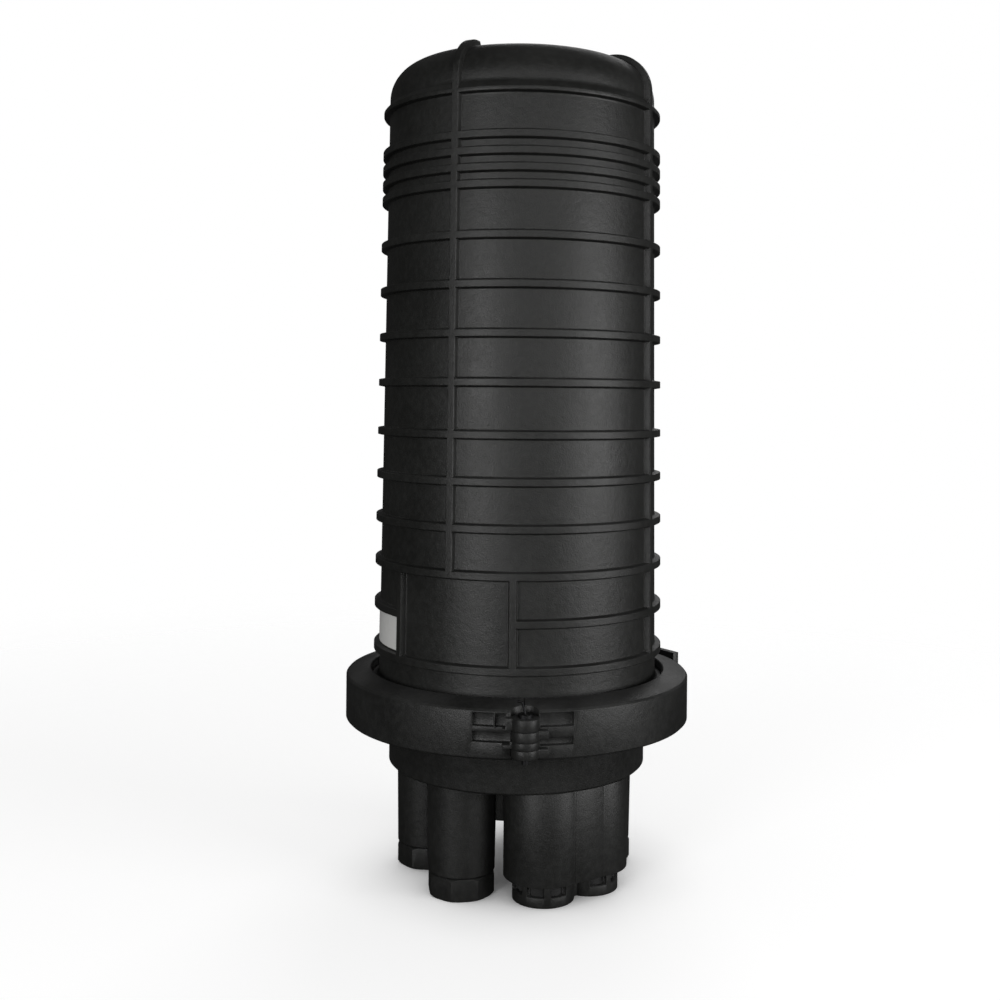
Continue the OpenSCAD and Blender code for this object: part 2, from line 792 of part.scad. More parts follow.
module oval_plugs() {
    low = cage_h + cage_stem_h;
    flange_gap = 1;
    color("#3a3b3a") for (az = lobe_az) translate(at(lobe_rho, az)) {
        translate([0, 0, low]) cylinder(r = seal_bore_r - soft_gap, h = throat_z - low + e);
        translate([0, 0, throat_z]) cylinder(r = throat_r - flange_gap, h = plug_flange_t);
    }
}

// ---------------------------------------------------------------- splice trays and their frame

// Frame: a foot screwed to the floor, an upright channel behind the trays and two cheeks for the hinge rods
module tray_frame() {
    channel_h = tray_z + tray_h * 0.94 - floor_top;
    cheek_z = rod_z - 8;
    color("#b9bcbe") difference() {
        union() {
            translate([-foot_w / 2, foot_front, floor_top]) cube([foot_w, frame_y + frame_d - foot_front, frame_t]);
            translate([-frame_w / 2, frame_y, floor_top]) cube([frame_w, frame_t, channel_h]);
            for (x = [-frame_w / 2, frame_w / 2 - frame_t])
                translate([x, frame_y, floor_top]) cube([frame_t, frame_d, channel_h]);
            // Cross plate behind the trays and the cheeks folded forward from its ends
            translate([-cheek_x - cheek_plate_t, frame_y, cheek_z])
                cube([2 * (cheek_x + cheek_plate_t), frame_t, 2 * (rod_z - cheek_z)]);
            for (x = [-cheek_x - cheek_plate_t, cheek_x])
                translate([x, tray_front_y, cheek_z])
                    cube([cheek_plate_t, frame_y + frame_t - tray_front_y, 2 * (rod_z - cheek_z)]);
        }
        for (y = tray_y) translate([-big / 2, y + tray_d / 2, rod_z])
            rotate([0, 90, 0]) cylinder(r = rod_r + pin_gap, h = big);
        for (p = foot_screws) translate([p[0], p[1], floor_top - 1])
            cylinder(r = screw_core_r + 0.5, h = frame_t + 2, $fn = 32);
        // Lightening slots up the channel
        for (k = [0:4]) translate([-frame_w / 4, frame_y - 1, tray_z + 20 + k * tray_h * 0.17])
            cube([frame_w / 2, frame_t + 2, tray_h * 0.08]);
    }
}

// Slotted screw whose head's underside is at the origin
module slotted_screw(length) {
    translate([0, 0, -length]) cylinder(r = screw_core_r, h = length + e, $fn = 32);
    difference() {
        cylinder(r = screw_core_r * 2.2, h = 2.4, $fn = 32);
        translate([-0.5, -5, 1.4]) cube([1, 10, 2]);
    }
}

module frame_screws() {
    color("#b9bcbe") for (p = foot_screws)
        translate([p[0], p[1], floor_top + frame_t]) slotted_screw(frame_t + screw_in - 0.4);
}

module tray_hinge_rods() {
    color("#b9bcbe") for (y = tray_y)
        translate([-cheek_x - cheek_plate_t, y + tray_d / 2, rod_z])
            rotate([0, 90, 0]) cylinder(r = rod_r, h = 2 * (cheek_x + cheek_plate_t), $fn = 32);
}

// Rounded rectangle in the tray's own plane
module tray_plan(inset) {
    w = tray_w / 2 - inset;
    c = tray_corner;
    r = max(tray_corner - inset, 1);
    for (x = [-1, 1]) for (z = [c, tray_h - c])
        translate([x * (tray_w / 2 - c), z]) circle(r = r, $fn = 32);
    translate([-w, c]) square([2 * w, tray_h - 2 * c]);
    translate([-tray_w / 2 + c, inset]) square([tray_w - 2 * c, tray_h - 2 * inset]);
}

// Splice tray: floor, rim, coil rounds, fibre keepers and hinge ears on the rod
module splice_tray(i) {
    hub_r = 30;
    ear_w = 12;
    z_hubs = [hub_r + 16, tray_h - hub_r - 16];
    color("#dcdcd6") translate([0, tray_y[i], tray_z]) {
        rotate([90, 0, 0]) mirror([0, 0, 1]) difference() {
            union() {
                difference() {
                    linear_extrude(height = tray_d) tray_plan(0);
                    translate([0, 0, -1]) linear_extrude(height = tray_d - tray_t + 1) tray_plan(tray_t);
                }
                // Coil rounds that keep the fibre's bend
                for (z = z_hubs) translate([0, z, 0]) difference() {
                    cylinder(r = hub_r, h = tray_d - tray_t + e);
                    translate([0, 0, -1]) cylinder(r = hub_r - tray_t, h = tray_d - tray_t + 1);
                    for (a = [0, 90]) rotate([0, 0, a + 45])
                        translate([-hub_r - 1, -6, -1]) cube([2 * hub_r + 2, 12, tray_d - tray_t + 1]);
                }
                // Keepers over the fibre channel
                for (x = [-1, 1]) for (z = [0.3, 0.5, 0.7])
                    translate([x > 0 ? tray_w / 2 - 13 : -tray_w / 2 + tray_t - e, tray_h * z - 4, 0])
                        cube([13 - tray_t + e, 8, 1.2]);
            }
            // Fibre entries in the lower corners
            for (x = [-1, 1]) translate([x * (tray_w / 2 - 20) - 5, -1, -1]) cube([10, tray_t + 2, tray_d - tray_t]);
        }
        // Hinge ears
        for (x = [-1, 1]) difference() {
            translate([x * (tray_w / 2 - 20) - ear_w / 2 + x * 12, 0, 0]) {
                translate([0, tray_d / 2, -rod_drop]) rotate([0, 90, 0])
                    cylinder(r = rod_r + 2.2, h = ear_w, $fn = 48);
                translate([0, tray_d / 2 - 2.5, -rod_drop]) cube([ear_w, 5, rod_drop + 1]);
            }
            translate([-big / 2, tray_d / 2, -rod_drop]) rotate([0, 90, 0])
                cylinder(r = rod_r + pin_gap, h = big, $fn = 48);
        }
    }
}

// Comb-like splice holders, one in each tray
module splice_holders() {
    holder_w = 34;
    holder_l = 58;
    slots = 6;
    pitch = holder_w / slots;
    color("#3b5f8a") for (y = tray_y)
        translate([-holder_w / 2, y + 2, tray_z + tray_h / 2 - holder_l / 2]) difference() {
            cube([holder_w, tray_d - tray_t - 2, holder_l]);
            for (k = [0:slots - 1])
                translate([k * pitch + pitch / 2 - 1.6, -1, -1]) cube([3.2, tray_d - tray_t - 2.5, holder_l + 2]);
            translate([-1, -1, holder_l * 0.38]) cube([holder_w + 2, tray_d - tray_t - 2.5, holder_l * 0.24]);
        }
}

module tray_cover() {
    cover_t = 1.5;
    color("#c9d6dc") translate([0, tray_y[0] - cover_t, tray_z]) rotate([90, 0, 0]) mirror([0, 0, 1])
        linear_extrude(height = cover_t) tray_plan(1);
}

// Strap round the stack of trays
module tray_strap() {
    out_x = tray_w / 2 + strap_t;
    front = tray_y[0] - 1.5 - strap_t;
    back = frame_y - 0.4;
    color("#22314a") translate([0, 0, tray_z + tray_h * 0.62]) difference() {
        translate([-out_x, front, 0]) cube([2 * out_x, back - front, strap_w]);
        translate([-tray_w / 2 - 0.1, front + strap_t, -1])
            cube([tray_w + 0.2, back - front - 2 * strap_t, strap_w + 2]);
    }
}

// Open basket behind the frame for spare cable
module slack_basket() {
    low = tray_z - 3;
    depth = basket_d;
    wall = 2;
    w = frame_w - 2 * frame_t - 1;
    h = tray_h * 0.8;
    color("#8f9290") translate([-w / 2, frame_y + frame_t, low]) difference() {
        cube([w, depth, h]);
        translate([wall, -1, wall]) cube([w - 2 * wall, depth - wall + 1, h]);
        for (k = [0:5]) translate([-1, depth * 0.3, h * (0.08 + 0.15 * k)])
            cube([w + 2, depth * 0.4, h * 0.09]);
        for (k = [0:5]) translate([w * 0.2, 1, h * (0.08 + 0.15 * k)])
            cube([w * 0.6, depth + 1, h * 0.09]);
    }
}

// Posts that hold the cables' strength members
module strength_posts() {
    color("#c8a24a") for (p = post_xy) translate([p[0], p[1], floor_top]) difference() {
        union() {
            cylinder(r = post_r, h = post_h, $fn = 6);
            translate([0, 0, 0.4 - screw_in]) cylinder(r = screw_core_r, h = screw_in, $fn = 32);
        }
        translate([-post_r - 1, 0, post_h * 0.6]) rotate([0, 90, 0])
            cylinder(r = screw_core_r, h = 2 * post_r + 2, $fn = 32);
        translate([0, 0, post_h * 0.45]) cylinder(r = screw_core_r, h = post_h, $fn = 32);
    }
}

module post_screws() {
    color("#b9bcbe") for (p = post_xy)
        translate([p[0], p[1], floor_top + post_h]) slotted_screw(post_h * 0.25);
}

dome_shell();
base_body();
port_tubes();
oval_tube();
main_seal_ring();
marking_label();
hoop_left();
hoop_right();
hinge_pin();
latch_lever();
latch_pivot_pin();
latch_link();
for (i = [0:3]) {
    port_nut(i);
    port_washer(i);
    port_seal(i);
    port_plug(i);
    splice_tray(i);
}
oval_cage();
oval_seal();
oval_plugs();
tray_frame();
frame_screws();
tray_hinge_rods();
splice_holders();
tray_cover();
tray_strap();
slack_basket();
strength_posts();
post_screws();
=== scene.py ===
"""Dome splice closure: finishes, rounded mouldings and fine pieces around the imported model."""

import json
import logging
import math
from dataclasses import dataclass, field
from enum import Enum
from typing import Iterable, Protocol, Sequence

import bmesh
import bpy
from mathutils import Matrix, Vector

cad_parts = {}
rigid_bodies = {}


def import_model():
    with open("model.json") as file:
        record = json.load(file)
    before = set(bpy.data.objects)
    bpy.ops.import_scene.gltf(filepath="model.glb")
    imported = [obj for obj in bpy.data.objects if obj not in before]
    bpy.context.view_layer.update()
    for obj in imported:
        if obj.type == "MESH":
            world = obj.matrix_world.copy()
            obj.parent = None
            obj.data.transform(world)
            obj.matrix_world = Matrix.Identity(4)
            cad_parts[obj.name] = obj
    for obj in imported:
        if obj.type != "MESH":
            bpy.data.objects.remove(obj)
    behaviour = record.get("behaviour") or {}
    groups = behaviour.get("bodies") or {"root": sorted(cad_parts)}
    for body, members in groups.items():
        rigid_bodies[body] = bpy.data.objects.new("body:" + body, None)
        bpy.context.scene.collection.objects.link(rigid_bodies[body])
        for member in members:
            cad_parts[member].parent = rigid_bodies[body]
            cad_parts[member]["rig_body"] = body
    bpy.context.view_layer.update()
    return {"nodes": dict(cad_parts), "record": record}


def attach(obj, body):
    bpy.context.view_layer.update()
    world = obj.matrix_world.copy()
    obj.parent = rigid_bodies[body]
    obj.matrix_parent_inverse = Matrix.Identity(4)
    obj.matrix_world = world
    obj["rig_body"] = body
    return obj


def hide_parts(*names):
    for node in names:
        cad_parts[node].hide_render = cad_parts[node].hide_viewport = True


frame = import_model()

log = logging.getLogger("closure")
MM = 0.001
TAU = 2 * math.pi


# ---------------------------------------------------------------- node graphs


class Sock:
    """A node output that plain arithmetic works on."""

    def __init__(self, graph: "Graph", out: bpy.types.NodeSocket) -> None:
        """Wraps one output socket of a graph."""
        self.graph, self.out = graph, out

    def _op(self, name: str, *others: "Sock | float", flip: bool = False) -> "Sock":
        """Adds one Math node.

        Args:
            name: the Math node's operation.
            others: further operands.
            flip: put this socket second, for the reflected operators.

        Returns:
            The node's result.
        """
        terms = [others[0], self, *others[1:]] if flip else [self, *others]
        return self.graph.math(name, *terms)

    def __add__(self, o: "Sock | float") -> "Sock":
        """Sum."""
        return self._op("ADD", o)

    __radd__ = __add__

    def __sub__(self, o: "Sock | float") -> "Sock":
        """Difference."""
        return self._op("SUBTRACT", o)

    def __rsub__(self, o: "Sock | float") -> "Sock":
        """Reflected difference."""
        return self._op("SUBTRACT", o, flip=True)

    def __mul__(self, o: "Sock | float") -> "Sock":
        """Product."""
        return self._op("MULTIPLY", o)

    __rmul__ = __mul__

    def __truediv__(self, o: "Sock | float") -> "Sock":
        """Quotient."""
        return self._op("DIVIDE", o)

    def __rtruediv__(self, o: "Sock | float") -> "Sock":
        """Reflected quotient."""
        return self._op("DIVIDE", o, flip=True)

    def __gt__(self, o: "Sock | float") -> "Sock":
        """One where this is greater."""
        return self._op("GREATER_THAN", o)

    def __lt__(self, o: "Sock | float") -> "Sock":
        """One where this is less."""
        return self._op("LESS_THAN", o)

    def abs(self) -> "Sock":
        """Size without sign."""
        return self._op("ABSOLUTE")

    def min(self, o: "Sock | float") -> "Sock":
        """The lesser of two."""
        return self._op("MINIMUM", o)

    def max(self, o: "Sock | float") -> "Sock":
        """The greater of two."""
        return self._op("MAXIMUM", o)

    def smooth(self, low: float, high: float, to: tuple[float, float] = (0.0, 1.0)) -> "Sock":
        """Smooth step between two values.

        Args:
            low: where the step starts.
            high: where the step ends.
            to: results at the two ends.

        Returns:
            The eased result.
        """
        return self.graph.ramp(self, low, high, to)


class Graph:
    """Builds the nodes of one shader or geometry tree."""

    def __init__(self, tree: bpy.types.NodeTree) -> None:
        """Takes the tree that the nodes are added to."""
        self.tree = tree

    def node(
        self, kind: str, settings: dict | None = None, inputs: dict | None = None
    ) -> bpy.types.Node:
        """Adds a node.

        Args:
            kind: the node's type.
            settings: properties, set before the inputs.
            inputs: values or links, by socket name or number.

        Returns:
            The new node.
        """
        made = self.tree.nodes.new(kind)
        for key, value in (settings or {}).items():
            setattr(made, key, value)
        for key, value in (inputs or {}).items():
            self.feed(made.inputs[key], value)
        return made

    def feed(self, socket: bpy.types.NodeSocket, value: object) -> None:
        """Links or sets one input socket.

        Args:
            socket: the input to fill.
            value: a socket to link, or a plain value.
        """
        if isinstance(value, Sock):
            self.tree.links.new(value.out, socket)
        elif isinstance(value, bpy.types.NodeSocket):
            self.tree.links.new(value, socket)
        else:
            socket.default_value = value

    def out(self, node: bpy.types.Node, key: str | int = 0) -> Sock:
        """One output of a node, ready for arithmetic."""
        return Sock(self, node.outputs[key])

    def math(self, op: str, *terms: "Sock | float") -> Sock:
        """Adds a Math node on up to three terms."""
        return self.out(self.node("ShaderNodeMath", {"operation": op}, dict(enumerate(terms))))

    def ramp(self, value: Sock, low: float, high: float, to: tuple[float, float]) -> Sock:
        """Adds a Map Range node with a smooth step.

        Args:
            value: what is eased.
            low: where the step starts; above high for a falling step.
            high: where the step ends.
            to: results at the two ends.

        Returns:
            The eased result.
        """
        rising = low <= high
        ends = (low, high, *to) if rising else (high, low, to[1], to[0])
        names = ("From Min", "From Max", "To Min", "To Max")
        made = self.node(
            "ShaderNodeMapRange", {"interpolation_type": "SMOOTHSTEP"},
            {"Value": value, **dict(zip(names, ends))},
        )
        return self.out(made)

    def noise(self, scale: float, detail: float = 2.0, coords: object = None) -> Sock:
        """Adds a noise texture.

        Args:
            scale: cycles to the metre.
            detail: octaves.
            coords: where it is read, object coordinates unless given.

        Returns:
            The noise, about 0 to 1.
        """
        if coords is None:
            coords = self.coords()
        inputs = {"Vector": coords, "Scale": scale, "Detail": detail}
        return self.out(self.node("ShaderNodeTexNoise", None, inputs), 0)

    def coords(self) -> bpy.types.NodeSocket:
        """Adds the object coordinates once.

        Returns:
            Their socket.
        """
        found = self.tree.nodes.get("Object Coords")
        if found is None:
            found = self.node("ShaderNodeTexCoord")
            found.name = "Object Coords"
        return found.outputs["Object"]

    def bump(
        self, bsdf: bpy.types.Node, height: Sock, distance: float, strength: float,
        normal: bpy.types.NodeSocket | None = None,
    ) -> None:
        """Raises a shader's surface by a Bump node.

        Args:
            bsdf: the shader whose normal is fed.
            height: the relief, about 0 to 1.
            distance: its depth in metres.
            strength: its share.
            normal: the normal that it starts from, if not the surface's own.
        """
        inputs = {"Strength": strength, "Distance": distance, "Height": height}
        if normal is not None:
            inputs["Normal"] = normal
        made = self.node("ShaderNodeBump", None, inputs)
        self.feed(bsdf.inputs["Normal"], made.outputs[0])

    def mix(self, amount: Sock, a: Sequence[float] | Sock, b: Sequence[float]) -> Sock:
        """Mixes two colours.

        Args:
            amount: share of the second colour.
            a: the first colour.
            b: the second colour.

        Returns:
            The mixed colour.
        """
        made = self.node("ShaderNodeMix", {"data_type": "RGBA"})
        for key, value in ((0, amount), (6, a), (7, b)):
            self.feed(made.inputs[key], value)
        return self.out(made, 2)


# ---------------------------------------------------------------- finishes


def rgba(grey: float | Sequence[float]) -> tuple[float, float, float, float]:
    """A linear colour with full alpha, from a grey or three channels."""
    r, g, b = (grey,) * 3 if isinstance(grey, (int, float)) else grey
    return (r, g, b, 1.0)


def shader(name: str, constants: dict[str, float]) -> tuple[bpy.types.Material, Graph, bpy.types.Node]:
    """Starts a material with one Principled shader.

    Args:
        name: the material's name.
        constants: values for the shader's own sockets.

    Returns:
        The material, its graph and the shader node.
    """
    mat = bpy.data.materials.new(name)
    mat.use_nodes = True
    graph = Graph(mat.node_tree)
    bsdf = mat.node_tree.nodes["Principled BSDF"]
    for key, value in constants.items():
        bsdf.inputs[key].default_value = value
    return mat, graph, bsdf


class Finish(Protocol):
    """What every finish can do."""

    def build(self) -> bpy.types.Material:
        """Makes the material."""


@dataclass(frozen=True)
class MouldedPlastic:
    """Injection-moulded plastic with a spark-eroded grain and handling marks."""

    name: str
    colour: tuple[float, float, float]
    roughness: float = 0.5
    specular: float = 0.5
    grain: float = 0.00025
    grain_scale: float = 1300.0
    mottle_scale: float = 260.0
    cloud_scale: float = 22.0
    scuff_scale: float = 300.0
    dust: float = 0.5
    edge_r: float = 0.0006

    def build(self) -> bpy.types.Material:
        """Makes the material.

        Returns:
            The plastic, with dust on what faces up and upright scuffs.
        """
        mat, g, bsdf = shader(self.name, {"Specular IOR Level": self.specular})
        grain = g.noise(self.grain_scale, 3.0)
        mottle = g.noise(self.mottle_scale, 4.0)
        cloud = g.noise(self.cloud_scale, 5.0)
        upright = {"Vector": g.coords(), "Scale": (1.0, 1.0, 0.12)}
        drawn = g.node("ShaderNodeMapping", None, upright)
        scuff = g.noise(self.scuff_scale, 3.0, drawn.outputs[0]).smooth(0.66, 0.78)
        normal = g.node("ShaderNodeNewGeometry")
        up = g.node("ShaderNodeSeparateXYZ", None, {0: normal.outputs["Normal"]})
        settled = g.out(up, 2).smooth(0.3, 1.0) * cloud.smooth(0.25, 0.75) * self.dust
        haze = (mottle.smooth(0.35, 0.75) * 0.5 + cloud.smooth(0.35, 0.7) * 0.5) * self.dust
        base = self.colour
        light = tuple(c * 1.9 + 0.012 for c in base)
        dusty = tuple(c * 1.6 + 0.045 for c in base)
        tone = g.mix(haze, rgba(base), rgba(light))
        tone = g.mix(settled, tone, rgba(dusty))
        tone = g.mix(scuff * 0.2, tone, rgba(light))
        g.feed(bsdf.inputs["Base Color"], tone)
        rough = self.roughness + (cloud - 0.5) * 0.16 + (mottle - 0.5) * 0.14 + settled * 0.15
        g.feed(bsdf.inputs["Roughness"], rough)
        edge = g.node("ShaderNodeBevel", {"samples": 4}, {"Radius": self.edge_r})
        g.bump(bsdf, grain + mottle * 1.5, self.grain, 0.5, edge.outputs[0])
        return mat


@dataclass(frozen=True)
class SoftRubber:
    """Black rubber with a dull bloom."""

    name: str
    colour: tuple[float, float, float] = (0.016, 0.016, 0.016)
    roughness: float = 0.68
    bloom_scale: float = 60.0
    grain: float = 0.00005
    grain_scale: float = 2200.0

    def build(self) -> bpy.types.Material:
        """Makes the material.

        Returns:
            The rubber.
        """
        mat, g, bsdf = shader(self.name, {"Specular IOR Level": 0.35, "Sheen Weight": 0.1})
        bloom = g.noise(self.bloom_scale, 4.0).smooth(0.4, 0.7)
        g.feed(bsdf.inputs["Base Color"], g.mix(bloom * 0.5, rgba(self.colour), rgba(0.035)))
        g.feed(bsdf.inputs["Roughness"], self.roughness + bloom * 0.12)
        g.bump(bsdf, g.noise(self.grain_scale), self.grain, 0.3)
        return mat


class Lay(Enum):
    """Direction of the fine lines that a metal's working leaves."""

    TURNED = (1.0, 1.0, 14.0)
    DRAWN = (14.0, 1.0, 1.0)
    CAST = (1.0, 1.0, 1.0)


@dataclass(frozen=True)
class WorkedMetal:
    """Plated or bare metal with tool lines and tarnish."""

    name: str
    colour: tuple[float, float, float]
    roughness: float = 0.3
    lay: Lay = Lay.TURNED
    line_depth: float = 0.00004
    line_scale: float = 700.0
    tarnish_scale: float = 90.0

    def build(self) -> bpy.types.Material:
        """Makes the material.

        Returns:
            The metal.
        """
        mat, g, bsdf = shader(self.name, {"Metallic": 1.0})
        stretched = {"Vector": g.coords(), "Scale": self.lay.value}
        lines = g.node("ShaderNodeMapping", None, stretched)
        tool = g.noise(self.line_scale, 2.0, lines.outputs[0])
        tarnish = g.noise(self.tarnish_scale, 5.0).smooth(0.45, 0.75)
        dull = tuple(c * 0.55 for c in self.colour)
        g.feed(bsdf.inputs["Base Color"], g.mix(tarnish * 0.6, rgba(self.colour), rgba(dull)))
        g.feed(bsdf.inputs["Roughness"], self.roughness + tool * 0.12 + tarnish * 0.2)
        g.bump(bsdf, tool, self.line_depth, 0.25)
        return mat


@dataclass(frozen=True)
class ClearSheet:
    """Clear plastic sheet, lightly scratched."""

    name: str
    colour: tuple[float, float, float] = (0.86, 0.9, 0.92)
    scratch_scale: float = 400.0

    def build(self) -> bpy.types.Material:
        """Makes the material.

        Returns:
            The clear sheet.
        """
        mat, g, bsdf = shader(self.name, {"Transmission Weight": 0.92, "IOR": 1.49})
        scratch = g.noise(self.scratch_scale, 3.0).smooth(0.55, 0.7)
        g.feed(bsdf.inputs["Base Color"], g.mix(scratch, rgba(self.colour), rgba(0.8)))
        g.feed(bsdf.inputs["Roughness"], 0.06 + scratch * 0.2)
        return mat


@dataclass(frozen=True)
class LabelFilm:
    """Blank white film with a soft gloss, greyed a little by handling."""

    name: str
    clean: tuple[float, float, float] = (0.8, 0.8, 0.78)
    soiled: tuple[float, float, float] = (0.6, 0.6, 0.57)
    roughness: float = 0.38
    wave: float = 0.0001
    wave_scale: float = 90.0

    def build(self) -> bpy.types.Material:
        """Makes the material.

        Returns:
            The film.
        """
        mat, g, bsdf = shader(self.name, {"Specular IOR Level": 0.45})
        soil = g.noise(120.0, 5.0).smooth(0.45, 0.8)
        g.feed(bsdf.inputs["Base Color"], g.mix(soil * 0.4, rgba(self.clean), rgba(self.soiled)))
        g.feed(bsdf.inputs["Roughness"], self.roughness + soil * 0.2)
        g.bump(bsdf, g.noise(self.wave_scale), self.wave, 0.2)
        return mat


@dataclass(frozen=True)
class WovenStrap:
    """Woven hook-and-loop strap, with a painted highlight on its raised threads and painted shade
    between them.
    """

    name: str
    colour: tuple[float, float, float] = (0.012, 0.02, 0.045)
    painted_crown_highlight: tuple[float, float, float] = (0.05, 0.07, 0.12)
    thread: float = 0.0007
    relief: float = 0.0002

    def build(self) -> bpy.types.Material:
        """Makes the material.

        Returns:
            The woven strap, its threads as a product of two waves.
        """
        mat, g, bsdf = shader(self.name, {"Sheen Weight": 0.5, "Specular IOR Level": 0.2})
        parts = g.node("ShaderNodeSeparateXYZ", None, {0: g.coords()})
        run = g.out(parts, 0) + g.out(parts, 1)
        warp = g.math("SINE", run * (TAU / self.thread))
        weft = g.math("SINE", g.out(parts, 2) * (TAU / self.thread))
        weave = warp * weft
        # Painted highlight and shade: the weave's raised crowns take the lighter colour, its hollows the
        # dark dye.
        tone = g.mix(weave.smooth(-0.5, 1.0), rgba(self.colour), rgba(self.painted_crown_highlight))
        g.feed(bsdf.inputs["Base Color"], tone)
        g.feed(bsdf.inputs["Roughness"], 0.8 - weave * 0.1)
        g.bump(bsdf, weave, self.relief, 0.6)
        return mat


FINISHES: dict[str, Finish] = {
    "dome_plastic": MouldedPlastic("dome_plastic", (0.011, 0.0113, 0.0103), 0.46, 0.5),
    "base_plastic": MouldedPlastic("base_plastic", (0.011, 0.0112, 0.0105), 0.48, 0.45),
    "hoop_plastic": MouldedPlastic("hoop_plastic", (0.012, 0.0122, 0.0115), 0.46, 0.45, dust=0.6),
    "lever_plastic": MouldedPlastic("lever_plastic", (0.012, 0.012, 0.012), 0.45, 0.45),
    "plug_plastic": MouldedPlastic("plug_plastic", (0.04, 0.04, 0.04), 0.5, 0.4),
    "tray_plastic": MouldedPlastic("tray_plastic", (0.62, 0.62, 0.58), 0.42, 0.5, dust=0.1),
    "holder_plastic": MouldedPlastic("holder_plastic", (0.05, 0.12, 0.32), 0.4, 0.5, dust=0.1),
    "seal_rubber": SoftRubber("seal_rubber"),
    "dark_steel": WorkedMetal("dark_steel", (0.035, 0.035, 0.036), 0.45, Lay.CAST),
    "steel": WorkedMetal("steel", (0.62, 0.62, 0.62), 0.3),
    "brass": WorkedMetal("brass", (0.78, 0.57, 0.27), 0.28),
    "frame_metal": WorkedMetal("frame_metal", (0.75, 0.76, 0.77), 0.38, Lay.DRAWN),
    "clear_plastic": ClearSheet("clear_plastic"),
    "strap_fabric": WovenStrap("strap_fabric"),
    "label_film": LabelFilm("label_film"),
}


class Finishes:
    """Every finish, built once, by the record's slot names."""

    def __init__(self) -> None:
        """Builds all the materials."""
        self.made = {slot: finish.build() for slot, finish in FINISHES.items()}
        subparts = frame["record"]["subparts"]
        self.slot_of = {p["node"]: p["material_slot"] for p in subparts}

    def dress(self, obj: bpy.types.Object, slot: str) -> None:
        """Gives an object one finish."""
        obj.data.materials.clear()
        obj.data.materials.append(self.made[slot])

    def dress_frame(self) -> None:
        """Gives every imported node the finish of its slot."""
        for name, obj in frame["nodes"].items():
            self.dress(obj, self.slot_of[name])
        log.info("dressed %d packed nodes", len(frame["nodes"]))


# ---------------------------------------------------------------- helpers


def new_object(name: str, verts: Iterable, faces: Iterable) -> bpy.types.Object:
    """Makes a mesh object at the origin.

    Args:
        name: the piece's name.
        verts: corners in metres.
        faces: corner numbers of each face.

    Returns:
        The linked object.
    """
    mesh = bpy.data.meshes.new(name)
    mesh.from_pydata(list(verts), [], list(faces))
    mesh.update()
    obj = bpy.data.objects.new(name, mesh)
    bpy.context.scene.collection.objects.link(obj)
    return obj


def bake_modifiers(obj: bpy.types.Object) -> None:
    """Turns an object's modifiers into plain mesh.

    Args:
        obj: the object, which keeps its name and its mesh's name.
    """
    dg = bpy.context.evaluated_depsgraph_get()
    old = obj.data
    obj.data = bpy.data.meshes.new_from_object(obj.evaluated_get(dg))
    obj.data.name = old.name
    obj.modifiers.clear()
    bpy.data.meshes.remove(old)


def shade_smooth(obj: bpy.types.Object) -> None:
    """Smooths the shading of every face."""
    obj.data.polygons.foreach_set("use_smooth", [True] * len(obj.data.polygons))
    obj.data.update()


@dataclass
class RoundedCopies:
    """Stands a piece with rounded edges in for each packed moulding.

    A copy of the node's mesh is welded, its flat faces are made whole again, and a bevel
    rounds its sharp edges.
    """

    finishes: Finishes
    radii: dict[str, float] = field(default_factory=dict)
    sharp: float = math.radians(28)
    crease: float = math.radians(32)
    flat: float = math.radians(0.6)
    weld: float = 0.00002

    def make(self, node: str, radius: float) -> bpy.types.Object:
        """Makes the rounded piece for one node.

        Args:
            node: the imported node's name.
            radius: the edge radius in metres.

        Returns:
            The piece, which replaces the node.
        """
        source = frame["nodes"][node]
        mesh = source.data.copy()
        mesh.name = f"{node}_rounded"
        obj = bpy.data.objects.new(f"{node}_rounded", mesh)
        bpy.context.scene.collection.objects.link(obj)
        bm = bmesh.new()
        bm.from_mesh(mesh)
        bmesh.ops.remove_doubles(bm, verts=bm.verts, dist=self.weld)
        bmesh.ops.dissolve_limit(
            bm, angle_limit=self.flat, verts=bm.verts, edges=bm.edges, delimit={"NORMAL"}
        )
        bm.to_mesh(mesh)
        bm.free()
        bevel = obj.modifiers.new("round", "BEVEL")
        bevel.width = radius
        bevel.segments = 2
        bevel.limit_method = "ANGLE"
        bevel.angle_limit = self.sharp
        bevel.use_clamp_overlap = True
        bevel.harden_normals = False
        bevel.miter_outer = "MITER_ARC"
        bake_modifiers(obj)
        shade_smooth(obj)
        obj.data.set_sharp_from_angle(angle=self.crease)
        slot = self.finishes.slot_of[node]
        self.finishes.dress(obj, slot)
        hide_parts(node)
        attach(obj, source["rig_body"])
        return obj

    def build(self) -> None:
        """Makes every rounded piece."""
        for node, radius in self.radii.items():
            made = self.make(node, radius)
            log.info("%s: %d faces", made.name, len(made.data.polygons))


# ---------------------------------------------------------------- dome


